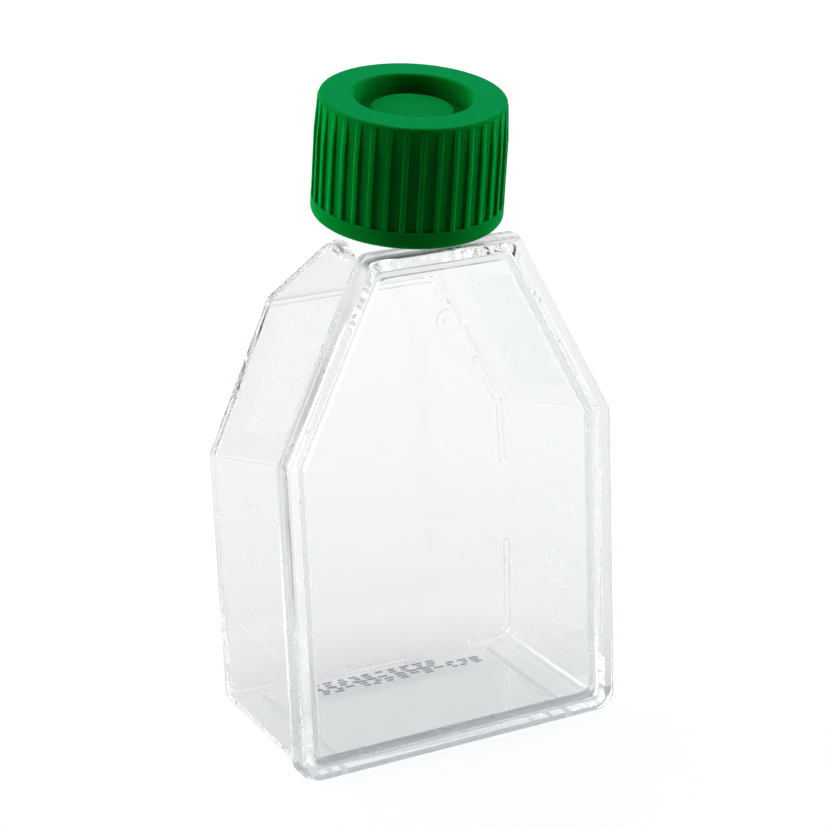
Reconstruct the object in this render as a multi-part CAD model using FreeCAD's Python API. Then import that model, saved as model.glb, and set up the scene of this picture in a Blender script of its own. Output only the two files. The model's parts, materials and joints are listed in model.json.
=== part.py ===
import FreeCAD, Part
import math
import os

# Cell culture flask, standing on its end wall.
# Millimetres. +Z runs from the end wall to the cap, +X across the width, and the
# welded front plate faces -Y. The growth surface is the inside of the back wall.

# ---- front flange and plate -------------------------------------------------
FLANGE_HALF_WIDTH = 26.0
FLANGE_SHOULDER_Z = 47.6
FLANGE_TOP_Z = 75.1
FLANGE_TOP_MARGIN = 2.33       # flange beside the neck, at the flange's top edge
FLANGE_THICKNESS = 1.4
FLANGE_CORNER_RADIUS = 3.4
SHOULDER_RADIUS = 1.6
PLATE_INSET = 0.4              # the plate stops this far inside the flange
PLATE_THICKNESS = 1.8
PLATE_EDGE_RADIUS = 0.5
RIB_CLEARANCE = 0.2            # between the plate's locating rib and the walls
RIB_WIDTH = 0.9
RIB_HEIGHT = 1.4

# ---- moulded tray -------------------------------------------------------------
FLASK_DEPTH = 31.0             # plate face to the outside of the back wall
FLANGE_OVERHANG = 1.2          # flange beyond the side and slanted walls
FOOT_HEIGHT = 0.6              # end wall above the standing plane, at the flange
TOP_WALL_DROP = 1.1            # top wall below the flange's top edge
WALL = 1.3
SIDE_TAPER = 0.1               # each side wall leans in by this from front to back
END_TAPER = 0.6                # the end wall rises by this from front to back
SHOULDER_FALL = 6.6            # the shoulders drop by this from front to back
FOLD_DROP = 10.65              # fold of the back wall below the top wall
FOLD_HALF_WIDTH = 14.0
RAMP_START_Y = 1.5             # where the ramp meets the top wall
WALL_CORNER_RADIUS = 1.4

# ---- ridges -------------------------------------------------------------------
FOOT_RIDGE_INSET = 7.5         # from the flange's side edge
FOOT_RIDGE_WIDTH = 0.9
FOOT_RIDGE_MARGIN = 2.4        # end of a foot ridge to the back wall
BACK_RIDGE_INSET = 1.0
BACK_RIDGE_WIDTH = 0.9
BACK_RIDGE_HEIGHT = 0.6
BACK_RIDGE_CREST_ROUND = 0.3
BACK_RIDGE_RADIUS = 2.6
UPPER_RIDGE_LENGTH = 5.75      # down from the fold
SHOULDER_RIDGE_ABOVE = 7.6     # above and below the back wall's shoulder
SHOULDER_RIDGE_BELOW = 10.1
CORNER_RIDGE_TOP_Z = 18.6
CORNER_RIDGE_REACH = 8.5       # in from the back wall's side
BOTTOM_RIDGE_HALF_LENGTH = 5.0
GATE_X = 15.3
GATE_BELOW_FOLD = 8.35
GATE_RADIUS = 1.9
GATE_HEIGHT = 0.25
GATE_NUB_RADIUS = 0.6
GATE_NUB_HEIGHT = 0.5

# ---- neck ---------------------------------------------------------------------
NECK_TILT = 11.6               # the neck leans towards the front plate
CAP_SEAT_Y = -3.3              # centre of the cap's lower edge when closed
CAP_SEAT_RISE = 2.55           # the same point above the flange's top edge
NECK_RADIUS = 9.6
NECK_WALL = 1.4
NECK_ROOT = 15.0               # the neck's tube starts this far below the cap's edge
NECK_RIM_ROUND = 0.35

# ---- seal insert ----------------------------------------------------------------
SEAL_GAP = 0.1                 # seal to the neck's rim, and seal to the cap
SEAL_THICKNESS = 1.2
SEAL_OVERLAP = 0.4             # seal inside the neck's outer radius
PLUG_CLEARANCE = 0.3
PLUG_WALL = 1.2
PLUG_LENGTH = 3.0
PLUG_LEAD = 0.5                # chamfer that leads the plug into the bore

# ---- screw cap ------------------------------------------------------------------
CAP_HEIGHT = 17.4
CAP_NECK_GAP = 1.6             # room for the thread between the neck and the skirt
CAP_SKIRT = 1.85               # thickness of the skirt between two ribs, at the top
CAP_DRAFT = 0.1                # the skirt's outside widens by this from top to bottom
CAP_RIB_DEPTH = 0.45
CAP_RIB_COUNT = 36
CAP_RIB_ANGLE = 2.6            # width of a rib's crest, in degrees
CAP_RIB_FLARE = 1.0            # how much wider its foot is, in degrees
CAP_RIB_TOP_MARGIN = 0.45
CAP_RIB_FADE = 5.0             # a rib reaches its full depth this far below its upper end
CAP_RIB_END_DEPTH = 0.1        # its depth at that end
CAP_RING_HEIGHT = 2.6          # smooth ring below the ribs
CAP_RING_ROUND = 0.9
CAP_TOP_ROUND = 0.35
CAP_SKIN = 1.4                 # thickness of the cap's roof
WELL_RADIUS = 8.3
WELL_ROUND = 0.4
MOAT_DEPTH = 3.3
BUTTON_RADIUS = 5.85
BUTTON_DROP = 1.9              # button's face below the cap's top
BUTTON_ROUND = 0.35
COLLAR_CLEARANCE = 0.3         # round the seal
COLLAR_WALL = 0.8
COLLAR_OVERLAP = 0.5           # the collar ends this far above the neck's rim

# ---- worked out -------------------------------------------------------------------


def slant(wide, narrow, rise):
    """The angle from the vertical, in degrees, of an edge that goes from wide in to narrow."""
    return math.degrees(math.atan2(wide - narrow, rise))


PLATE_FACE_Y = -FLASK_DEPTH / 2
PLATE_BACK_Y = PLATE_FACE_Y + PLATE_THICKNESS
FLANGE_BACK_Y = PLATE_BACK_Y + FLANGE_THICKNESS
BACK_Y = FLASK_DEPTH / 2
LARGE = 4 * FLASK_DEPTH        # reach of the cutting solids
SINK = 0.3                     # how far ridges start inside a wall
SHOULDER_ANGLE = slant(FLANGE_HALF_WIDTH, NECK_RADIUS + FLANGE_TOP_MARGIN, FLANGE_TOP_Z - FLANGE_SHOULDER_Z)
TOP_WALL_Z = FLANGE_TOP_Z - TOP_WALL_DROP
FOLD_Z = TOP_WALL_Z - FOLD_DROP
BACK_HALF_WIDTH = FLANGE_HALF_WIDTH - FLANGE_OVERHANG - SIDE_TAPER
BACK_BOTTOM_Z = FOOT_HEIGHT + END_TAPER
BACK_SHOULDER_Z = FLANGE_SHOULDER_Z - SHOULDER_FALL
BACK_SHOULDER_ANGLE = slant(BACK_HALF_WIDTH, FOLD_HALF_WIDTH, FOLD_Z - BACK_SHOULDER_Z)
BORE_RADIUS = NECK_RADIUS - NECK_WALL
CAP_BORE_RADIUS = NECK_RADIUS + CAP_NECK_GAP
CAP_GROOVE_RADIUS = CAP_BORE_RADIUS + CAP_SKIRT
CAP_RIB_RADIUS = CAP_GROOVE_RADIUS + CAP_RIB_DEPTH
CAP_RING_RADIUS = CAP_RIB_RADIUS + CAP_DRAFT
CAP_AXIS = FreeCAD.Vector(0, -math.sin(math.radians(NECK_TILT)), math.cos(math.radians(NECK_TILT)))
CAP_SEAT = FreeCAD.Vector(0, CAP_SEAT_Y, FLANGE_TOP_Z + CAP_SEAT_RISE)
MOAT_FLOOR = CAP_HEIGHT - MOAT_DEPTH
CEILING = MOAT_FLOOR - CAP_SKIN
SEAL_TOP = CEILING - SEAL_GAP
NECK_RIM = SEAL_TOP - SEAL_THICKNESS - SEAL_GAP
SEAL_RADIUS = NECK_RADIUS - SEAL_OVERLAP
COLLAR_RADIUS = SEAL_RADIUS + COLLAR_CLEARANCE


def house(half_width, bottom, shoulder, angle, top):
    """A five-sided house outline with a flat top: its sizes by name."""
    slope = math.tan(math.radians(angle))
    return {
        "half_width": half_width,
        "bottom": bottom,
        "shoulder": shoulder,
        "angle": angle,
        "top": top,
        "top_half_width": half_width - (top - shoulder) * slope,
    }


def inset(outline, distance, bottom=None):
    """The same outline moved inwards by distance on every side, or by bottom below."""
    lift = distance if bottom is None else bottom
    half_angle = math.radians(outline["angle"]) / 2
    return house(
        outline["half_width"] - distance,
        outline["bottom"] + lift,
        outline["shoulder"] - distance * math.tan(half_angle),
        outline["angle"],
        outline["top"] - distance,
    )


def corners(outline, y):
    """The outline's six corners at depth y, from the lower left round to the shoulder."""
    wide = outline["half_width"]
    narrow = outline["top_half_width"]
    places = [
        (-wide, outline["bottom"]),
        (wide, outline["bottom"]),
        (wide, outline["shoulder"]),
        (narrow, outline["top"]),
        (-narrow, outline["top"]),
        (-wide, outline["shoulder"]),
    ]
    return [FreeCAD.Vector(x, y, z) for x, z in places]


def rounded_wire(points, radii):
    """A closed wire through points, with each corner replaced by a tangent arc."""
    edges = []
    count = len(points)
    starts = []
    ends = []
    for index, corner in enumerate(points):
        back = (points[index - 1] - corner).normalize()
        ahead = (points[(index + 1) % count] - corner).normalize()
        half_turn = back.getAngle(ahead) / 2
        reach = radii[index] / math.tan(half_turn)
        inward = (back + ahead).normalize()
        start = corner + back * reach
        end = corner + ahead * reach
        middle = corner + inward * (radii[index] / math.sin(half_turn) - radii[index])
        starts.append(start)
        ends.append(end)
        edges.append(Part.Arc(start, middle, end).toShape())
        edges.append(None)
    for index in range(count):
        edges[2 * index + 1] = Part.LineSegment(ends[index], starts[(index + 1) % count]).toShape()
    return Part.Wire(edges)


def house_wire(outline, y, bottom_radius, other_radius):
    """The rounded outline at depth y."""
    radii = [bottom_radius, bottom_radius] + [other_radius] * 4
    return rounded_wire(corners(outline, y), radii)


def slab(outline, y_front, y_back, bottom_radius, other_radius):
    """The rounded outline as a flat slab from y_front to y_back."""
    face = Part.Face(house_wire(outline, y_front, bottom_radius, other_radius))
    return face.extrude(FreeCAD.Vector(0, y_back - y_front, 0))


def block(x_low, x_high, y_low, y_high, z_low, z_high):
    """A box between two corners."""
    corner = FreeCAD.Vector(x_low, y_low, z_low)
    return Part.makeBox(x_high - x_low, y_high - y_low, z_high - z_low, corner)


def revolve(points):
    """A solid of revolution about +Z from (radius, height) points."""
    places = [FreeCAD.Vector(radius, 0, height) for radius, height in points]
    profile = Part.makePolygon(places + [places[0]])
    return Part.Face(profile).revolve(FreeCAD.Vector(0, 0, 0), FreeCAD.Vector(0, 0, 1), 360)


def circle_edges(shape, radius, height):
    """The circular edges of a solid of revolution at one radius and height."""
    found = []
    for edge in shape.Edges:
        if not isinstance(edge.Curve, Part.Circle):
            continue
        same_radius = abs(edge.Curve.Radius - radius) < 1e-4
        if same_radius and abs(edge.Curve.Center.z - height) < 1e-4:
            found.append(edge)
    return found


def on_neck_axis(shape):
    """Moves a shape made about +Z onto the leaning neck's axis, height 0 at the cap's seat."""
    turned = shape.copy()
    turned.rotate(FreeCAD.Vector(0, 0, 0), FreeCAD.Vector(1, 0, 0), NECK_TILT)
    turned.translate(CAP_SEAT)
    return turned


FLANGE = house(FLANGE_HALF_WIDTH, 0, FLANGE_SHOULDER_Z, SHOULDER_ANGLE, FLANGE_TOP_Z)
PLATE = inset(FLANGE, PLATE_INSET)


def wall_front_outline(depth_in_wall):
    """The tray's wall at the flange, moved depth_in_wall towards the inside."""
    outer = inset(FLANGE, FLANGE_OVERHANG, FOOT_HEIGHT)
    outer = house(outer["half_width"], outer["bottom"], outer["shoulder"], SHOULDER_ANGLE, TOP_WALL_Z)
    return inset(outer, depth_in_wall)


def wall_back_outline(depth_in_wall):
    """The tray's wall at the back wall, moved depth_in_wall towards the inside."""
    outer = house(BACK_HALF_WIDTH, BACK_BOTTOM_Z, BACK_SHOULDER_Z, BACK_SHOULDER_ANGLE, TOP_WALL_Z)
    return inset(outer, depth_in_wall)


def above_ramp(depth_in_wall):
    """Everything above the sloping part of the back wall, depth_in_wall under its outside."""
    slope = (FOLD_Z - TOP_WALL_Z) / (BACK_Y - RAMP_START_Y)
    drop = depth_in_wall * math.hypot(1, slope)
    low_z = TOP_WALL_Z + slope * (LARGE - RAMP_START_Y) - drop
    high_z = TOP_WALL_Z + slope * (-LARGE - RAMP_START_Y) - drop
    places = [(-LARGE, high_z), (LARGE, low_z), (LARGE, high_z + LARGE), (-LARGE, high_z + LARGE)]
    points = [FreeCAD.Vector(-LARGE, y, z) for y, z in places]
    face = Part.Face(Part.makePolygon(points + [points[0]]))
    return face.extrude(FreeCAD.Vector(2 * LARGE, 0, 0))


def tray_form(front, back, y_front, y_back, radius, depth_in_wall):
    """The tapering house-shaped body between two outlines, cut off by the ramp."""
    wires = [house_wire(front, y_front, radius, radius), house_wire(back, y_back, radius, radius)]
    return Part.makeLoft(wires, True, True).cut(above_ramp(depth_in_wall))


def back_ridges():
    """The broken stacking ridge on the outside of the back wall."""
    edge = house(BACK_HALF_WIDTH, BACK_BOTTOM_Z, BACK_SHOULDER_Z, BACK_SHOULDER_ANGLE, FOLD_Z)
    outer = inset(edge, BACK_RIDGE_INSET)
    inner = inset(outer, BACK_RIDGE_WIDTH)
    y_low = BACK_Y - SINK
    y_high = BACK_Y + BACK_RIDGE_HEIGHT
    outer_radius = BACK_RIDGE_RADIUS
    inner_radius = BACK_RIDGE_RADIUS - BACK_RIDGE_WIDTH
    ring = slab(outer, y_low, y_high, outer_radius, WALL_CORNER_RADIUS)
    ring = ring.cut(slab(inner, y_low - SINK, y_high + SINK, inner_radius, WALL_CORNER_RADIUS))
    crest = [edge for edge in ring.Edges if abs(edge.BoundBox.YMin - y_high) < 1e-6]
    ring = ring.makeFillet(BACK_RIDGE_CREST_ROUND, crest)
    reach = FLANGE_HALF_WIDTH
    corner_x = BACK_HALF_WIDTH - CORNER_RIDGE_REACH
    bar_x = BOTTOM_RIDGE_HALF_LENGTH
    kept = [
        block(-reach, reach, y_low, y_high, FOLD_Z - UPPER_RIDGE_LENGTH, FLANGE_TOP_Z),
        block(-reach, reach, y_low, y_high, BACK_SHOULDER_Z - SHOULDER_RIDGE_BELOW,
              BACK_SHOULDER_Z + SHOULDER_RIDGE_ABOVE),
        block(-reach, -corner_x, y_low, y_high, 0, CORNER_RIDGE_TOP_Z),
        block(corner_x, reach, y_low, y_high, 0, CORNER_RIDGE_TOP_Z),
        block(-bar_x, bar_x, y_low, y_high, 0, CORNER_RIDGE_TOP_Z),
    ]
    return [ring.common(window) for window in kept]


def foot_ridges():
    """Two ridges under the end wall, which carry the back of the standing flask."""
    half = FOOT_RIDGE_WIDTH / 2
    ridges = []
    for side in (-1, 1):
        middle = side * (FLANGE_HALF_WIDTH - FOOT_RIDGE_INSET)
        y_high = BACK_Y - FOOT_RIDGE_MARGIN
        ridges.append(block(middle - half, middle + half, FLANGE_BACK_Y - SINK, y_high, 0,
                            BACK_BOTTOM_Z + SINK))
    return ridges


def gate_mark():
    """The moulding's gate: a low disc with a small nub, outside the back wall."""
    outward = FreeCAD.Vector(0, 1, 0)
    foot = FreeCAD.Vector(GATE_X, BACK_Y - SINK, FOLD_Z - GATE_BELOW_FOLD)
    disc = Part.makeCylinder(GATE_RADIUS, SINK + GATE_HEIGHT, foot, outward)
    nub = Part.makeCylinder(GATE_NUB_RADIUS, SINK + GATE_NUB_HEIGHT, foot, outward)
    return [disc, nub]


def flask_body():
    """The moulded tray: walls, flange, ramp, neck, feet and ridges in one piece."""
    outer = tray_form(wall_front_outline(0), wall_back_outline(0), FLANGE_BACK_Y - SINK, BACK_Y,
                      WALL_CORNER_RADIUS, 0)
    flange = slab(FLANGE, PLATE_BACK_Y, FLANGE_BACK_Y, FLANGE_CORNER_RADIUS, SHOULDER_RADIUS)
    neck = Part.makeCylinder(NECK_RADIUS, NECK_ROOT + NECK_RIM, FreeCAD.Vector(0, 0, -NECK_ROOT))
    neck = neck.makeFillet(NECK_RIM_ROUND, circle_edges(neck, NECK_RADIUS, NECK_RIM))
    inner_radius = max(WALL_CORNER_RADIUS - WALL, WALL / 2)
    inner = tray_form(wall_front_outline(WALL), wall_back_outline(WALL), PLATE_BACK_Y, BACK_Y - WALL,
                      inner_radius, WALL)
    bore = Part.makeCylinder(BORE_RADIUS, LARGE, FreeCAD.Vector(0, 0, -NECK_ROOT))
    body = outer.fuse([flange, on_neck_axis(neck)] + back_ridges() + foot_ridges() + gate_mark())
    return body.cut([inner, on_neck_axis(bore)]).removeSplitter()


def front_plate():
    """The welded front plate, with the rib that locates it inside the tray's walls."""
    face = slab(PLATE, PLATE_BACK_Y, PLATE_FACE_Y, FLANGE_CORNER_RADIUS - PLATE_INSET, SHOULDER_RADIUS)
    rim = [edge for edge in face.Edges if abs(edge.BoundBox.YMax - PLATE_FACE_Y) < 1e-6]
    face = face.makeFillet(PLATE_EDGE_RADIUS, rim)
    rib_outer = inset(wall_front_outline(WALL), RIB_CLEARANCE)
    rib_inner = inset(rib_outer, RIB_WIDTH)
    y_high = PLATE_BACK_Y + RIB_HEIGHT
    rib = slab(rib_outer, PLATE_BACK_Y - SINK, y_high, WALL_CORNER_RADIUS, SHOULDER_RADIUS)
    rib = rib.cut(slab(rib_inner, PLATE_BACK_Y - LARGE, y_high + SINK, WALL_CORNER_RADIUS, SHOULDER_RADIUS))
    return face.fuse(rib).removeSplitter()


def cap_ribs():
    """The grip ribs, which fade out towards the cap's top edge."""
    foot_half = math.radians(CAP_RIB_ANGLE + CAP_RIB_FLARE) / 2
    crest_half = math.radians(CAP_RIB_ANGLE) / 2
    top = CAP_HEIGHT - CAP_RIB_TOP_MARGIN
    wires = []
    for height, growth in [(0, CAP_DRAFT), (top + SINK, 0)]:
        root_radius = CAP_GROOVE_RADIUS + growth
        crest_radius = CAP_RIB_RADIUS + growth
        places = [(root_radius - SINK, -foot_half), (root_radius, -foot_half), (crest_radius, -crest_half),
                  (crest_radius, crest_half), (root_radius, foot_half), (root_radius - SINK, foot_half)]
        points = [FreeCAD.Vector(r * math.cos(a), r * math.sin(a), height) for r, a in places]
        wires.append(Part.makePolygon(points + [points[0]]))
    rib = Part.makeLoft(wires, True, True)
    envelope = revolve([
        (0, 0), (CAP_RIB_RADIUS + CAP_DRAFT, 0), (CAP_RIB_RADIUS, top - CAP_RIB_FADE),
        (CAP_GROOVE_RADIUS + CAP_RIB_END_DEPTH, top), (0, top),
    ])
    ribs_base = FreeCAD.Vector(0, 0, CAP_RING_HEIGHT - SINK)
    above_ring = Part.makeCylinder(2 * CAP_RIB_RADIUS, CAP_HEIGHT, ribs_base)
    rib = rib.common(envelope).common(above_ring)
    ribs = []
    for index in range(CAP_RIB_COUNT):
        copy = rib.copy()
        angle = 90 + (index * 360 / CAP_RIB_COUNT)
        copy.rotate(FreeCAD.Vector(0, 0, 0), FreeCAD.Vector(0, 0, 1), angle)
        ribs.append(copy)
    return ribs


def screw_cap():
    """The ribbed cap: skirt, roof with a well and a raised button, and the seal's collar."""
    groove_radius = CAP_GROOVE_RADIUS
    shell = Part.makeCone(groove_radius + CAP_DRAFT, groove_radius, CAP_HEIGHT)
    ring = Part.makeCylinder(CAP_RING_RADIUS, CAP_RING_HEIGHT)
    ring = ring.makeFillet(CAP_RING_ROUND, circle_edges(ring, CAP_RING_RADIUS, 0))
    shell = shell.makeFillet(CAP_TOP_ROUND, circle_edges(shell, groove_radius, CAP_HEIGHT))
    button_top = CAP_HEIGHT - BUTTON_DROP
    well = revolve([
        (0, button_top), (BUTTON_RADIUS, button_top), (BUTTON_RADIUS, MOAT_FLOOR),
        (WELL_RADIUS, MOAT_FLOOR), (WELL_RADIUS, CAP_HEIGHT + SINK), (0, CAP_HEIGHT + SINK),
    ])
    skirt_round = revolve([
        (0, -SINK), (groove_radius + CAP_RIB_RADIUS, -SINK), (groove_radius + CAP_RIB_RADIUS, CAP_RING_ROUND),
        (CAP_RING_RADIUS - CAP_RING_ROUND, CAP_RING_ROUND), (0, CAP_RING_ROUND),
    ])
    hollow = revolve([
        (0, -SINK), (CAP_BORE_RADIUS, -SINK), (CAP_BORE_RADIUS, CAP_HEIGHT - CAP_SKIN),
        (COLLAR_RADIUS + COLLAR_WALL, CAP_HEIGHT - CAP_SKIN),
        (COLLAR_RADIUS + COLLAR_WALL, NECK_RIM + COLLAR_OVERLAP), (COLLAR_RADIUS, NECK_RIM + COLLAR_OVERLAP),
        (COLLAR_RADIUS, CEILING), (0, CEILING),
    ])
    shell = shell.cut(skirt_round)
    body = shell.fuse([ring] + cap_ribs()).cut([hollow, well])
    body = body.makeFillet(WELL_ROUND, circle_edges(body, WELL_RADIUS, CAP_HEIGHT))
    body = body.makeFillet(BUTTON_ROUND, circle_edges(body, BUTTON_RADIUS, button_top))
    return on_neck_axis(body.removeSplitter())


def cap_seal():
    """The sealing insert held in the cap: a disc on the neck's rim and a plug in its bore."""
    plug_radius = BORE_RADIUS - PLUG_CLEARANCE
    plug_inner = plug_radius - PLUG_WALL
    disc_base = SEAL_TOP - SEAL_THICKNESS
    plug_end = disc_base - PLUG_LENGTH
    seal = revolve([
        (0, disc_base), (plug_inner, disc_base), (plug_inner, plug_end), (plug_radius - PLUG_LEAD, plug_end),
        (plug_radius, plug_end + PLUG_LEAD), (plug_radius, disc_base), (SEAL_RADIUS, disc_base),
        (SEAL_RADIUS, SEAL_TOP), (0, SEAL_TOP),
    ])
    return on_neck_axis(seal)


def main():
    """Builds the four pieces, centres them over the standing plane and writes them out."""
    pieces = {
        "flask_body": flask_body(),
        "front_plate": front_plate(),
        "screw_cap": screw_cap(),
        "cap_seal": cap_seal(),
    }
    tilt = math.radians(NECK_TILT)
    cap_front = min(
        CAP_SEAT_Y - height * math.sin(tilt) - radius * math.cos(tilt)
        for radius, height in [(CAP_GROOVE_RADIUS + CAP_RIB_END_DEPTH, CAP_HEIGHT - CAP_RIB_TOP_MARGIN),
                               (CAP_RIB_RADIUS, CAP_HEIGHT - CAP_RIB_TOP_MARGIN - CAP_RIB_FADE),
                               (CAP_RING_RADIUS, CAP_RING_HEIGHT)]
    )
    front = min(PLATE_FACE_Y, cap_front)
    back = BACK_Y + BACK_RIDGE_HEIGHT
    shift = FreeCAD.Vector(0, -(front + back) / 2, 0)
    os.makedirs("parts", exist_ok=True)
    for name, shape in pieces.items():
        shape.translate(shift)
        shape.exportStep(f"parts/{name}.step")
        box = shape.optimalBoundingBox()
        print(name, "solids", len(shape.Solids), "valid", shape.isValid(), "volume", round(shape.Volume, 1),
              "box", [round(v, 2) for v in (box.XMin, box.YMin, box.ZMin, box.XMax, box.YMax, box.ZMax)])
    seat = CAP_SEAT + shift
    print("shift y", round(shift.y, 4))
    print("cap axis through", tuple(round(v, 4) for v in seat), "along", tuple(round(v, 5) for v in CAP_AXIS))


main()
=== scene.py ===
import json
import math
import random

import bmesh
import bpy
from mathutils import Matrix, Vector
from mathutils.bvhtree import BVHTree


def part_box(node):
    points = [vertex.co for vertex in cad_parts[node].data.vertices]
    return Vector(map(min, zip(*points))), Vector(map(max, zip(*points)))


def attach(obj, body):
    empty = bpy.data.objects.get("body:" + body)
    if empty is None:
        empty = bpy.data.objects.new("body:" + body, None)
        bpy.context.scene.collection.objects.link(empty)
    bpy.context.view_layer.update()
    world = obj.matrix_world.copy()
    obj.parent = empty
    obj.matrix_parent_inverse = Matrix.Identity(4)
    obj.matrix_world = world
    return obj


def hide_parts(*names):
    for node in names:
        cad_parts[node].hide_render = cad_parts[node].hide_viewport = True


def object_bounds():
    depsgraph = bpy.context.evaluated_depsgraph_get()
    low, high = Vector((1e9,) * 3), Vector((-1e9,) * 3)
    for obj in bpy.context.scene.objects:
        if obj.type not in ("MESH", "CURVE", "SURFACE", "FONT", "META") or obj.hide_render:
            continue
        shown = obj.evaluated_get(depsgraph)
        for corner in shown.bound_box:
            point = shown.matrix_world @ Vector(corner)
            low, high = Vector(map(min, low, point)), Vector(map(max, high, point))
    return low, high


# Looks of the cell culture flask, in metres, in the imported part's frame.

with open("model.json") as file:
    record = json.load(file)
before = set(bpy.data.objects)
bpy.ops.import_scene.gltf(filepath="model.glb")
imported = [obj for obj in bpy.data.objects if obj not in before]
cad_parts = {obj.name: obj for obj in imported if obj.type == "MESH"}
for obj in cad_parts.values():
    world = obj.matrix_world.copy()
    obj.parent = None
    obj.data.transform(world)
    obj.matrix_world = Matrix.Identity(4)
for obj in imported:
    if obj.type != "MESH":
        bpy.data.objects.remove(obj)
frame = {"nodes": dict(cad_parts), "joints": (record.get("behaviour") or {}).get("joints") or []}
cad_low, cad_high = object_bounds()
MM = 0.001

# ---- places taken from the frame -----------------------------------------------------
_, body_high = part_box("flask_body")
plate_low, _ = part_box("front_plate")
FRONT_Y = plate_low.y                       # face of the front plate
FLASK_DEPTH = 31.0 * MM                     # plate face to the outside of the back wall
MID_Y = FRONT_Y + FLASK_DEPTH / 2
joints = {joint["name"]: joint for joint in frame["joints"]}
turn_joint = joints["cap_turn"]
lift_joint = joints["cap_lift"]
CAP_SEAT = Vector(turn_joint["pos_m"])
CAP_AXIS = Vector(turn_joint["axis"]).normalized()
THREAD_LEAD = lift_joint["range_m"][1] / (turn_joint["range_deg"][1] / 360)

# ---- thread --------------------------------------------------------------------------
NECK_RADIUS = 9.6 * MM
CAP_BORE_RADIUS = 11.2 * MM
NECK_THREAD_HEIGHT = 1.0 * MM
CAP_THREAD_HEIGHT = 1.1 * MM
THREAD_FOOT = 1.5 * MM
THREAD_CREST = 0.7 * MM
THREAD_TURNS = 1.5
NECK_THREAD_START = 4.2 * MM                # lower end, along the cap's axis from its seat
CAP_THREAD_START = NECK_THREAD_START - THREAD_LEAD / 2
THREAD_STEPS = 72                           # segments a turn
THREAD_RUNOUT = 0.08                        # share of the length in which an end fades out
THREAD_LEAST_FADE = 0.02                    # share of the height that the very ends keep
THREAD_SINK = 0.05 * MM                     # how far a thread starts inside its wall

# ---- marks on the walls --------------------------------------------------------------
TICK_WIDTH = 0.45 * MM
TICK_HEIGHT = 0.05 * MM
TICK_CREST_SHARE = 0.6                      # crest's width over the foot's
TICK_STEPS = 6                              # straight pieces along a line
TICK_LOWEST_Z = 10.9 * MM
TICK_SPACING = 9.0 * MM
TICK_COUNT = 4
TICK_FRONT_Y = MID_Y - 8.3 * MM
TICK_BACK_Y = MID_Y - 1.0 * MM
LONG_TICK_Z = 16.5 * MM
LONG_TICK_BACK_Y = MID_Y + 9.2 * MM
NUMBER_STEP = 10
NUMBER_SIZE = 3.2 * MM
NUMBER_GAP = 1.2 * MM
NUMBER_RELIEF = 0.03 * MM
MARK_LIFT = 0.02 * MM                       # keeps a thin mark clear of its wall
RAY_START = 5 * MM                          # outside a wall, for finding its surface
PATCH_STEPS = 12                            # squares along each edge of a thin sheet

# ---- meshes --------------------------------------------------------------------------
MERGE_DISTANCE = 0.0002 * MM
FLANGE_THICKNESS = 1.4 * MM
RIM_DEPTH = 3.2 * MM                        # plate and flange together
SHARP_ANGLE = math.radians(24)
FLAT_SHARE = 0.99                           # of a normal along Y, for a face that looks along Y

# ---- surfaces: colours are linear ----------------------------------------------------
POLYSTYRENE_IOR = 1.59
CLEAR_TINT = (0.972, 0.98, 0.98)
CLEAR_ROUGHNESS = (0.005, 0.02)             # least and most
CLEAR_RIPPLE = 0.004 * MM                   # relief of a moulded wall
# painted shade: the rim is the same clear polystyrene, given a darker grey for the grey that refraction
# shows in it
RIM_TINT = (0.77, 0.785, 0.78)
RIM_ROUGHNESS = (0.24, 0.34)
SHADOW_TINT = (0.93, 0.95, 0.95)            # what a lamp's light keeps at each surface
FOOT_CONTACT_SHADE = (0.50, 0.54, 0.63)             # painted contact shade, bluish, on the rim's lower edge, which stands on the floor
RIB_LINE_SHADE = (0.30, 0.33, 0.36)          # painted shade: the dark line that refraction shows where the end wall meets the plate's rib
# (height above the floor, tint) stops of the rim's painted shade
RIM_SHADE_STOPS = [(0.0, FOOT_CONTACT_SHADE), (1.4 * MM, RIM_TINT), (1.9 * MM, RIB_LINE_SHADE),
             (3.0 * MM, RIB_LINE_SHADE), (3.4 * MM, RIM_TINT)]
CAP_GREEN = (0.0005, 0.235, 0.021)
CAP_SHEEN_TINT = (0.01, 0.55, 0.42)
CAP_SCATTER = (0.2, 1.0, 0.5)               # how far red, green and blue light spread, as shares
CAP_SCATTER_SCALE = 1.2 * MM
CAP_SHADES = (0.92, 1.06)                   # the grain's darkest and lightest, over the green
SEAL_TINT = (0.80, 0.81, 0.79)
SEAL_ROUGHNESS = (0.4, 0.55)
FROST_TINT = (0.80, 0.80, 0.83)
RELIEF_TINT = (0.75, 0.76, 0.77)
INK_TINT = (0.02, 0.022, 0.07)
VEIL_VARIATION = 0.05                       # of a thin coat's density, either way
GRAIN_RELIEF = 0.02 * MM
NOISE_RANGE = (0.3, 0.7)                    # where most of a noise texture's values are
NOISE_DETAIL = 4.0
CLEAR_NOISE = 140.0                         # noise scales, in the object's own metres
CAP_NOISE = 900.0
SEAL_NOISE = 500.0
VEIL_NOISE = 400.0


def set_inputs(node, values):
    """Gives a node's inputs fixed values, each under the input's name."""
    for name, value in values.items():
        node.inputs[name].default_value = value


def map_range(nodes, source, target):
    """A node that maps a value between the source's two limits to one between the target's."""
    spread = nodes.new("ShaderNodeMapRange")
    set_inputs(spread, {"From Min": source[0], "From Max": source[1]})
    set_inputs(spread, {"To Min": target[0], "To Max": target[1]})
    return spread


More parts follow.
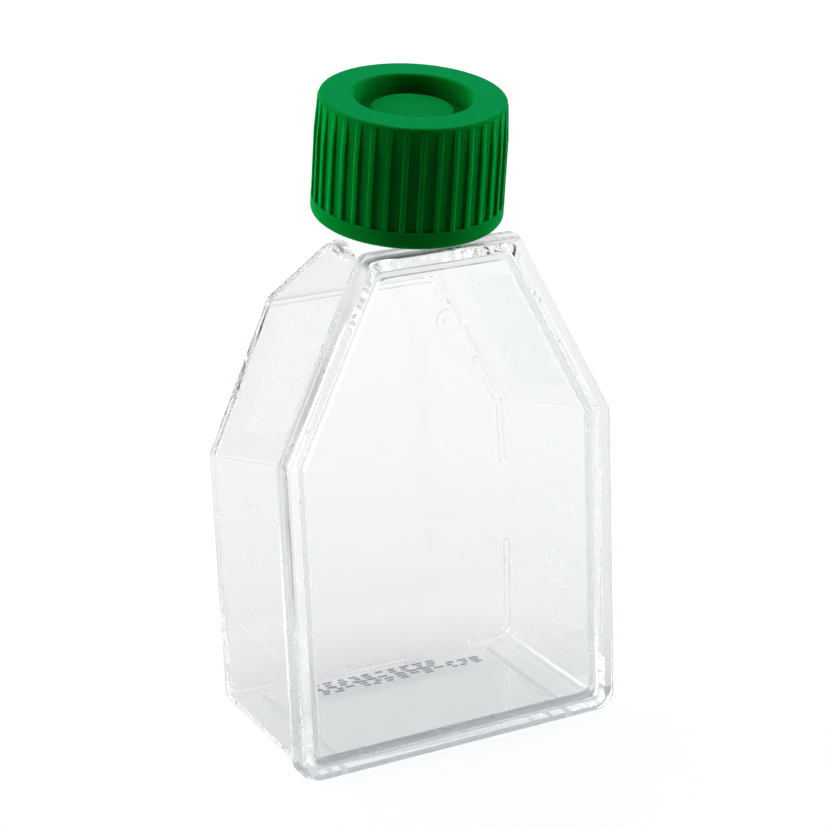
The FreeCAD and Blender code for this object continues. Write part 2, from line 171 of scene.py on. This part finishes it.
def smooth_noise(nodes, links, scale, target):
    """A noise value mapped between the target's two limits, and the noise itself, in object coordinates."""
    coords = nodes.new("ShaderNodeTexCoord")
    noise = nodes.new("ShaderNodeTexNoise")
    set_inputs(noise, {"Scale": scale, "Detail": NOISE_DETAIL})
    spread = map_range(nodes, NOISE_RANGE, target)
    links.new(coords.outputs["Object"], noise.inputs["Vector"])
    links.new(noise.outputs["Fac"], spread.inputs["Value"])
    return spread.outputs["Result"], noise.outputs["Fac"]


def ramp_over(nodes, links, value, stops):
    """A colour that follows stops, (value, colour) pairs, as value goes from 0 to the last stop's."""
    reach = stops[-1][0]
    share = map_range(nodes, (0.0, reach), (0.0, 1.0))
    ramp = nodes.new("ShaderNodeValToRGB")
    elements = ramp.color_ramp.elements
    while len(elements) < len(stops):
        elements.new(0.5)
    for element, (place, colour) in zip(elements, stops):
        element.position = place / reach
        element.color = (*colour, 1.0)
    links.new(value, share.inputs["Value"])
    links.new(share.outputs["Result"], ramp.inputs["Fac"])
    return ramp.outputs["Color"]


def new_material(name):
    """An empty node material: itself, its nodes, its links and its Principled shader."""
    material = bpy.data.materials.new(name)
    material.use_nodes = True
    tree = material.node_tree
    return material, tree.nodes, tree.links, tree.nodes["Principled BSDF"]


def add_bump(nodes, links, shader, height, strength, distance):
    """Fine relief on a shader from a height value."""
    bump = nodes.new("ShaderNodeBump")
    set_inputs(bump, {"Strength": strength, "Distance": distance})
    links.new(height, bump.inputs["Height"])
    links.new(bump.outputs["Normal"], shader.inputs["Normal"])


def clear_plastic(name, tint, roughness_range):
    """Moulded clear polystyrene, which lets the lamps' light through without a hard shadow."""
    material, nodes, links, shader = new_material(name)
    set_inputs(shader, {"Base Color": (*tint, 1.0), "Transmission Weight": 1.0, "IOR": POLYSTYRENE_IOR})
    roughness, height = smooth_noise(nodes, links, CLEAR_NOISE, roughness_range)
    links.new(roughness, shader.inputs["Roughness"])
    add_bump(nodes, links, shader, height, strength=1.0, distance=CLEAR_RIPPLE)
    path = nodes.new("ShaderNodeLightPath")
    passing = nodes.new("ShaderNodeBsdfTransparent")
    passing.inputs["Color"].default_value = (*SHADOW_TINT, 1.0)
    mix = nodes.new("ShaderNodeMixShader")
    output = nodes["Material Output"]
    links.new(path.outputs["Is Shadow Ray"], mix.inputs["Fac"])
    links.new(shader.outputs["BSDF"], mix.inputs[1])
    links.new(passing.outputs["BSDF"], mix.inputs[2])
    links.new(mix.outputs["Shader"], output.inputs["Surface"])
    return material


def shade_by_height(material, stops):
    """Paints shade into a material's colour by the height above the floor, from (height, tint) stops."""
    nodes = material.node_tree.nodes
    links = material.node_tree.links
    coords = nodes.new("ShaderNodeTexCoord")
    parts = nodes.new("ShaderNodeSeparateXYZ")
    links.new(coords.outputs["Object"], parts.inputs["Vector"])
    tint = ramp_over(nodes, links, parts.outputs["Z"], stops)
    links.new(tint, nodes["Principled BSDF"].inputs["Base Color"])


def cap_plastic():
    """Satin green polyethylene with the fine grain of a moulded cap."""
    material, nodes, links, shader = new_material("green_polyethylene")
    shade, height = smooth_noise(nodes, links, CAP_NOISE, CAP_SHADES)
    colour = nodes.new("ShaderNodeMix")
    colour.data_type = "RGBA"
    colour.blend_type = "MULTIPLY"
    colour.inputs["Factor"].default_value = 1.0
    colour.inputs["A"].default_value = (*CAP_GREEN, 1.0)
    links.new(shade, colour.inputs["B"])
    links.new(colour.outputs["Result"], shader.inputs["Base Color"])
    set_inputs(shader, {
        "Roughness": 0.38,
        "Specular IOR Level": 0.001,
        "Subsurface Weight": 0.6,
        "Subsurface Radius": CAP_SCATTER,
        "Subsurface Scale": CAP_SCATTER_SCALE,
        "Sheen Weight": 0.6,
        "Sheen Roughness": 0.35,
        "Sheen Tint": (*CAP_SHEEN_TINT, 1.0),
    })
    add_bump(nodes, links, shader, height, strength=0.5, distance=GRAIN_RELIEF)
    return material


def seal_plastic():
    """Natural, slightly milky polyethylene."""
    material, nodes, links, shader = new_material("natural_polyethylene")
    roughness, height = smooth_noise(nodes, links, SEAL_NOISE, SEAL_ROUGHNESS)
    set_inputs(shader, {"Base Color": (*SEAL_TINT, 1.0)})
    links.new(roughness, shader.inputs["Roughness"])
    add_bump(nodes, links, shader, height, strength=0.4, distance=GRAIN_RELIEF)
    return material


def veil(name, tint, density, roughness):
    """A frosted or printed patch: a thin coat that lets part of the light through."""
    material, nodes, links, shader = new_material(name)
    set_inputs(shader, {"Base Color": (*tint, 1.0), "Roughness": roughness, "Specular IOR Level": 0.1})
    densities = (density * (1 - VEIL_VARIATION), density * (1 + VEIL_VARIATION))
    alpha, _ = smooth_noise(nodes, links, VEIL_NOISE, densities)
    links.new(alpha, shader.inputs["Alpha"])
    return material


def new_object(name, data):
    """A new object in the scene."""
    piece = bpy.data.objects.new(name, data)
    bpy.context.scene.collection.objects.link(piece)
    return piece


def evaluated_mesh(piece):
    """A new mesh of what an object becomes once its modifiers and curves are worked out."""
    bpy.context.view_layer.update()
    graph = bpy.context.evaluated_depsgraph_get()
    return bpy.data.meshes.new_from_object(piece.evaluated_get(graph))


def tube_faces(count):
    """The faces of a closed tube of count lengths, whose rings have four points each."""
    faces = []
    for index in range(count):
        for corner in range(4):
            low = 4 * index + corner
            high = 4 * index + (corner + 1) % 4
            faces.append((low, high, high + 4, low + 4))
    last = 4 * count
    faces.append((0, 1, 2, 3))
    faces.append((last, last + 1, last + 2, last + 3))
    return faces


def mesh_object(name, vertices, faces, material, smooth=True):
    """A mesh piece made from points and faces, with outward normals."""
    mesh = bpy.data.meshes.new(name)
    mesh.from_pydata([tuple(v) for v in vertices], [], faces)
    shape = bmesh.new()
    shape.from_mesh(mesh)
    bmesh.ops.recalc_face_normals(shape, faces=shape.faces)
    shape.to_mesh(mesh)
    shape.free()
    for polygon in mesh.polygons:
        polygon.use_smooth = smooth
    mesh.materials.append(material)
    return new_object(name, mesh)


def outer_wall():
    """The flask body's surface, for laying marks on it."""
    mesh = frame["nodes"]["flask_body"].data
    points = [vertex.co.copy() for vertex in mesh.vertices]
    return BVHTree.FromPolygons(points, [tuple(p.vertices) for p in mesh.polygons])


wall = outer_wall()


def on_side(side, y, z):
    """The point and normal of the outer wall at (y, z), on side +1 or -1."""
    start = Vector((side * (body_high.x + RAY_START), y, z))
    point, normal, _, _ = wall.ray_cast(start, Vector((-side, 0, 0)))
    if normal.x * side < 0:
        normal = -normal
    return point, normal


def on_end_wall(x, y):
    """The point of the end wall's outside at (x, y), and the direction out of the wall."""
    start = Vector((x, y, -RAY_START))
    point, _, _, _ = wall.ray_cast(start, Vector((0, 0, 1)))
    return point, Vector((0, 0, -1))


def sweep(name, path, across, width, height, material):
    """A low ridge along path, a list of (point, normal), with its width along across."""
    vertices = []
    crest = width * TICK_CREST_SHARE
    for point, normal in path:
        base = point - normal * MARK_LIFT
        top = point + normal * height
        vertices += [base - across * width / 2, top - across * crest / 2,
                     top + across * crest / 2, base + across * width / 2]
    return mesh_object(name, vertices, tube_faces(len(path) - 1), material, smooth=False)


def patch(name, side, corners, material):
    """A thin sheet on a side wall between four (y, z) corners."""
    vertices = []
    faces = []
    top_front, top_back, low_front, low_back = corners
    for row in range(PATCH_STEPS + 1):
        down = row / PATCH_STEPS
        front = top_front.lerp(low_front, down)
        back = top_back.lerp(low_back, down)
        for column in range(PATCH_STEPS + 1):
            place = front.lerp(back, column / PATCH_STEPS)
            point, normal = on_side(side, place.x, place.y)
            vertices.append(point + normal * MARK_LIFT)
    for row in range(PATCH_STEPS):
        for column in range(PATCH_STEPS):
            first = row * (PATCH_STEPS + 1) + column
            below = first + PATCH_STEPS + 1
            faces.append((first, first + 1, below + 1, below))
    return mesh_object(name, vertices, faces, material)


def helix(name, wall_radius, height, start, material):
    """A right-handed thread on a wall about the cap's axis; a positive height stands outwards."""
    sideways = Vector((1, 0, 0))
    forwards = CAP_AXIS.cross(sideways)
    count = int(THREAD_TURNS * THREAD_STEPS)
    sunk = -THREAD_SINK if height > 0 else THREAD_SINK
    vertices = []
    for index in range(count + 1):
        share = index / count
        angle = share * THREAD_TURNS * 2 * math.pi
        fade = min(1.0, share / THREAD_RUNOUT, (1 - share) / THREAD_RUNOUT)
        fade = max(fade, THREAD_LEAST_FADE)
        outwards = sideways * math.cos(angle) + forwards * math.sin(angle)
        along = start + share * THREAD_TURNS * THREAD_LEAD
        foot = wall_radius + sunk
        crest = wall_radius + height * fade
        for radius, offset in [(foot, -THREAD_FOOT / 2), (crest, -THREAD_CREST / 2),
                               (crest, THREAD_CREST / 2), (foot, THREAD_FOOT / 2)]:
            vertices.append(CAP_SEAT + outwards * radius + CAP_AXIS * (along + offset))
    return mesh_object(name, vertices, tube_faces(count), material)


def merged_copy(node_name):
    """A CAD node's mesh as a new object, with the points of neighbouring faces merged."""
    shape = bmesh.new()
    shape.from_mesh(frame["nodes"][node_name].data)
    bmesh.ops.remove_doubles(shape, verts=shape.verts, dist=MERGE_DISTANCE)
    shape.verts.index_update()
    vertices = [vertex.co.copy() for vertex in shape.verts]
    faces = [[vertex.index for vertex in face.verts] for face in shape.faces]
    shape.free()
    mesh = bpy.data.meshes.new(node_name + "_copy")
    mesh.from_pydata(vertices, [], faces)
    return new_object(node_name + "_copy", mesh)


def is_rim(mesh, polygon):
    """Whether a face belongs to the welded rim, and not to the window or the walls behind."""
    depth = max(mesh.vertices[index].co.y for index in polygon.vertices) - FRONT_Y
    window = abs(polygon.normal.y) > FLAT_SHARE and depth < RIM_DEPTH - FLANGE_THICKNESS / 2
    return depth < RIM_DEPTH + MARK_LIFT and not window


def weld(name, first_node, second_node, material, rim_material):
    """One clear piece in place of two mouldings that are welded face to face."""
    first = merged_copy(first_node)
    second = merged_copy(second_node)
    union = first.modifiers.new("weld", "BOOLEAN")
    union.operation = "UNION"
    union.solver = "EXACT"
    union.object = second
    mesh = evaluated_mesh(first)
    bpy.data.objects.remove(first)
    bpy.data.objects.remove(second)
    mesh.name = name
    mesh.materials.clear()
    mesh.materials.append(material)
    mesh.materials.append(rim_material)
    for polygon in mesh.polygons:
        polygon.material_index = int(is_rim(mesh, polygon))
    mesh.shade_smooth()
    mesh.set_sharp_from_angle(angle=SHARP_ANGLE)
    piece = new_object(name, mesh)
    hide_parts(first_node, second_node)
    return piece


# ---- materials on the CAD pieces -----------------------------------------------------
clear_body = clear_plastic("clear_polystyrene", CLEAR_TINT, CLEAR_ROUGHNESS)
# the rim: a rougher copy of the clear polystyrene with painted shade, a darker grey, a dark line at the rib
# and contact shade at its foot
clear_rim = clear_plastic("clear_polystyrene_rim", RIM_TINT, RIM_ROUGHNESS)
shade_by_height(clear_rim, RIM_SHADE_STOPS)
cap_green = cap_plastic()
seal_natural = seal_plastic()
frosted = veil("frosted_panel", FROST_TINT, density=0.30, roughness=0.9)
marking = veil("faint_relief", RELIEF_TINT, density=0.22, roughness=0.8)
ink = veil("blue_grey_ink", INK_TINT, density=0.95, roughness=0.6)

finishes = {
    "screw_cap": cap_green,
    "cap_seal": seal_natural,
}
for node_name, material in finishes.items():
    node = frame["nodes"][node_name]
    node.data.materials.clear()
    node.data.materials.append(material)

clear_flask = weld("clear_flask", "flask_body", "front_plate", clear_body, clear_rim)
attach(clear_flask, "flask")

# ---- threads -------------------------------------------------------------------------
neck_thread = helix("neck_thread", NECK_RADIUS, NECK_THREAD_HEIGHT, NECK_THREAD_START, clear_body)
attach(neck_thread, "flask")
cap_thread = helix("cap_thread", CAP_BORE_RADIUS, -CAP_THREAD_HEIGHT, CAP_THREAD_START, cap_green)
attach(cap_thread, "cap")


# ---- graduations ---------------------------------------------------------------------
def tick(name, side, y_front, y_back, z):
    """One moulded graduation line on a side wall."""
    places = [y_front + (y_back - y_front) * index / TICK_STEPS for index in range(TICK_STEPS + 1)]
    path = [on_side(side, y, z) for y in places]
    line = sweep(name, path, Vector((0, 0, 1)), TICK_WIDTH, TICK_HEIGHT, marking)
    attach(line, "flask")


def number(name, side, text, y, z):
    """A moulded number on a side wall, upright as seen from outside."""
    curve = bpy.data.curves.new(name, "FONT")
    curve.body = text
    curve.size = NUMBER_SIZE
    curve.extrude = NUMBER_RELIEF
    curve.align_x = "CENTER"
    curve.align_y = "CENTER"
    lettering = new_object(name, curve)
    point, normal = on_side(side, y, z)
    rightwards = Vector((0, side, 0))
    upwards = normal.cross(rightwards).normalized()
    rightwards = upwards.cross(normal).normalized()
    turn = Matrix((rightwards, upwards, normal)).transposed().to_4x4()
    lettering.matrix_world = Matrix.Translation(point) @ turn
    mesh = evaluated_mesh(lettering)
    solid = new_object(name, mesh)
    solid.matrix_world = lettering.matrix_world.copy()
    bpy.data.objects.remove(lettering)
    solid.name = name
    mesh.materials.clear()
    mesh.materials.append(marking)
    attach(solid, "flask")


for side, side_name in [(-1, "left"), (1, "right")]:
    for index in range(TICK_COUNT):
        z = TICK_LOWEST_Z + index * TICK_SPACING
        if side > 0 or index > 0:
            tick(f"tick_{side_name}_{index}", side, TICK_FRONT_Y, TICK_BACK_Y, z)
            number(f"number_{side_name}_{index}", side, str(NUMBER_STEP * (index + 1)),
                   TICK_BACK_Y + NUMBER_GAP + NUMBER_SIZE / 2, z)
    tick(f"long_tick_{side_name}", side, TICK_FRONT_Y, LONG_TICK_BACK_Y, LONG_TICK_Z)

# ---- frosted panels ------------------------------------------------------------------
# top front, top back, low front and low back corners: millimetres behind MID_Y, and height
PANEL_CORNERS = {
    -1: [(-7.8, 68.3), (8.4, 64.1), (-8.9, 50.4), (5.8, 46.8)],
    1: [(-10.0, 68.5), (6.0, 65.2), (-7.9, 49.8), (7.0, 46.1)],
}
for side, side_name in [(-1, "left"), (1, "right")]:
    corners = [Vector((MID_Y + y * MM, z * MM)) for y, z in PANEL_CORNERS[side]]
    panel = patch(f"frosted_panel_{side_name}", side, corners, frosted)
    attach(panel, "flask")

# ---- ink marks on the end wall -------------------------------------------------------
# ends of each row: millimetres across, and behind MID_Y
INK_ROWS = [((-11.9, 13.2), (11.1, 12.4)), ((-11.4, 11.3), (16.3, 10.3))]
INK_PITCH = 2.1 * MM
INK_SIZE = 1.7 * MM
INK_STROKE = 0.65 * MM
INK_LEVEL = 0.85 * MM                       # between a row's three lines of dashes
INK_SKIP_SHARE = 0.1                        # of the dashes are left out
INK_LEAST_LENGTH = 0.5                      # share of a mark's size
INK_SEED = 4
random.seed(INK_SEED)
for row_index, ((from_x, from_y), (to_x, to_y)) in enumerate(INK_ROWS):
    start = Vector((from_x * MM, MID_Y + from_y * MM))
    end = Vector((to_x * MM, MID_Y + to_y * MM))
    along = (end - start).normalized()
    upright = Vector((-along.y, along.x))
    vertices = []
    faces = []
    count = int((end - start).length / INK_PITCH)
    for index in range(count):
        centre = start + along * (INK_PITCH * (index + 0.5))
        for level in (-1, 0, 1):
            if random.random() < INK_SKIP_SHARE:
                continue
            length = INK_SIZE * random.uniform(INK_LEAST_LENGTH, 1.0)
            offset = along * random.uniform(-0.5, 0.5) * (INK_SIZE - length)
            middle = centre + offset + upright * (level * INK_LEVEL)
            first = len(vertices)
            for end_sign, edge_sign in [(-1, -1), (1, -1), (1, 1), (-1, 1)]:
                place = middle + along * (end_sign * length / 2) + upright * (edge_sign * INK_STROKE / 2)
                point, normal = on_end_wall(place.x, place.y)
                vertices.append(point + normal * MARK_LIFT)
            faces.append((first, first + 1, first + 2, first + 3))
    marks = mesh_object(f"ink_marks_{row_index}", vertices, faces, ink)
    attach(marks, "flask")

# ---- floor and world -----------------------------------------------------------------
WHITE = (1.0, 1.0, 1.0, 1.0)
FLOOR_HALF = 4.0
FLOOR_ALBEDO = (0.25, 0.25, 0.253)
# (distance from the frame's origin, level) stops of the floor's own light, seen directly and through
# the clear plastic; the level seen through is darker near the flask, a painted shadow
FLOOR_SEEN = [(0.0, 0.74), (0.6, 0.96)]
FLOOR_THROUGH_SHADOW = [(0.02, 0.40), (0.045, 0.65), (0.12, 0.73), (0.35, 0.81), (0.6, 0.81)]
FLOOR_IN_GLOSS = 0.5
WORLD_SEEN = 1.0
WORLD_THROUGH = 0.89
WORLD_IN_GLOSS = 0.6
WORLD_LIGHT = (0.03, 0.9)                   # from the front plate's side and from behind the flask
WORLD_LIGHT_Y = (-0.3, 0.6)                 # the directions' Y between which it changes


def feed(links, value, socket):
    """Gives a socket a fixed value, or joins another node's output to it."""
    if isinstance(value, bpy.types.NodeSocket):
        links.new(value, socket)
    else:
        socket.default_value = value


def level_for_view(nodes, links, camera_level, through_level, gloss_level, other_level):
    """How bright a background is where it is seen directly, through the plastic, in a gloss or as light."""
    path = nodes.new("ShaderNodeLightPath")
    level = other_level
    for ray, value in [("Is Glossy Ray", gloss_level), ("Is Transmission Ray", through_level),
                       ("Is Camera Ray", camera_level)]:
        choice = nodes.new("ShaderNodeMix")
        feed(links, level, choice.inputs["A"])
        feed(links, value, choice.inputs["B"])
        links.new(path.outputs[ray], choice.inputs["Factor"])
        level = choice.outputs["Result"]
    return level


def level_from_middle(nodes, links, stops):
    """A level that follows stops, (distance, level) pairs, outwards from the frame's origin."""
    coords = nodes.new("ShaderNodeTexCoord")
    distance = nodes.new("ShaderNodeVectorMath")
    distance.operation = "LENGTH"
    links.new(coords.outputs["Object"], distance.inputs[0])
    greys = [(place, (level, level, level)) for place, level in stops]
    return ramp_over(nodes, links, distance.outputs["Value"], greys)


floor_mesh = bpy.data.meshes.new("floor")
floor_mesh.from_pydata([(-FLOOR_HALF, -FLOOR_HALF, 0), (FLOOR_HALF, -FLOOR_HALF, 0),
                        (FLOOR_HALF, FLOOR_HALF, 0), (-FLOOR_HALF, FLOOR_HALF, 0)], [], [(0, 1, 2, 3)])
floor = new_object("floor", floor_mesh)
floor_material, nodes, links, shader = new_material("white_floor")
set_inputs(shader, {
    "Base Color": (*FLOOR_ALBEDO, 1.0),
    "Roughness": 0.9,
    "Specular IOR Level": 0.0,
    "Emission Color": WHITE,
})
seen = level_from_middle(nodes, links, FLOOR_SEEN)
through = level_from_middle(nodes, links, FLOOR_THROUGH_SHADOW)
floor_level = level_for_view(nodes, links, seen, through, FLOOR_IN_GLOSS, 0.0)
links.new(floor_level, shader.inputs["Emission Strength"])
floor_mesh.materials.append(floor_material)

world = bpy.data.worlds.new("studio")
bpy.context.scene.world = world
world.use_nodes = True
nodes = world.node_tree.nodes
links = world.node_tree.links
background = nodes["Background"]
set_inputs(background, {"Color": WHITE})
directions = nodes.new("ShaderNodeTexCoord")
direction_parts = nodes.new("ShaderNodeSeparateXYZ")
from_behind = map_range(nodes, WORLD_LIGHT_Y, WORLD_LIGHT)
links.new(directions.outputs["Generated"], direction_parts.inputs["Vector"])
links.new(direction_parts.outputs["Y"], from_behind.inputs["Value"])
world_light = from_behind.outputs["Result"]
world_level = level_for_view(nodes, links, WORLD_SEEN, WORLD_THROUGH, WORLD_IN_GLOSS, world_light)
links.new(world_level, background.inputs["Strength"])

# ---- lamps ---------------------------------------------------------------------------
LAMP_DISTANCE = 0.9
# azimuth and elevation in degrees, size in metres, power in watts
SOFTBOXES = {
    "left_softbox": (-122, 11, 0.85, 10.0),
    "right_softbox": (70, 11, 0.85, 10.0),
    "top_softbox": (150, 72, 0.8, 1.5),
}


def direction_to(azimuth, elevation):
    """The direction from the flask at these angles, in degrees; azimuth 0 looks at the front plate."""
    around = math.radians(azimuth)
    up = math.radians(elevation)
    return Vector((math.sin(around) * math.cos(up), -math.cos(around) * math.cos(up), math.sin(up)))


def softbox(name, azimuth, elevation, size, power):
    """A square area lamp aimed at the flask's middle."""
    lamp = bpy.data.lights.new(name, "AREA")
    lamp.energy = power
    lamp.size = size
    holder = new_object(name, lamp)
    direction = direction_to(azimuth, elevation)
    centre = (cad_low + cad_high) / 2
    holder.location = centre + direction * LAMP_DISTANCE
    holder.rotation_mode = "QUATERNION"
    holder.rotation_quaternion = direction.to_track_quat("Z", "Y")


for name, (azimuth, elevation, size, power) in SOFTBOXES.items():
    softbox(name, azimuth, elevation, size, power)

# ---- camera --------------------------------------------------------------------------
CAMERA_AZIMUTH = -26.19
CAMERA_ELEVATION = 17.50
CAMERA_ROLL = -2.28
CAMERA_DISTANCE = 345.6 * MM
CAMERA_LENS = 103.64
CAMERA_TARGET = Vector((0.65 * MM, MID_Y - 1.7616 * MM, 47.33 * MM))
SENSOR_WIDTH = 36.0
CAMERA_NEAR = 10 * MM
CAMERA_FAR = 50.0
RAY_BOUNCES = 64                            # light travels far inside the clear walls
CLEAR_LAYERS = 32                           # thin coats that a ray passes, and walls that a shadow ray does

direction = direction_to(CAMERA_AZIMUTH, CAMERA_ELEVATION)
camera_data = bpy.data.cameras.new("camera")
camera_data.lens = CAMERA_LENS
camera_data.sensor_width = SENSOR_WIDTH
camera_data.clip_start = CAMERA_NEAR
camera_data.clip_end = CAMERA_FAR
camera = new_object("camera", camera_data)
camera.location = CAMERA_TARGET + direction * CAMERA_DISTANCE
look = direction.to_track_quat("Z", "Y").to_matrix().to_4x4()
roll = Matrix.Rotation(math.radians(CAMERA_ROLL), 4, "Z")
camera.matrix_world = Matrix.Translation(camera.location) @ look @ roll
bpy.context.scene.camera = camera
cycles = bpy.context.scene.cycles
cycles.max_bounces = RAY_BOUNCES
cycles.transmission_bounces = RAY_BOUNCES
cycles.glossy_bounces = RAY_BOUNCES
cycles.transparent_max_bounces = CLEAR_LAYERS
bpy.context.scene.view_settings.view_transform = "Standard"

bpy.context.view_layer.update()
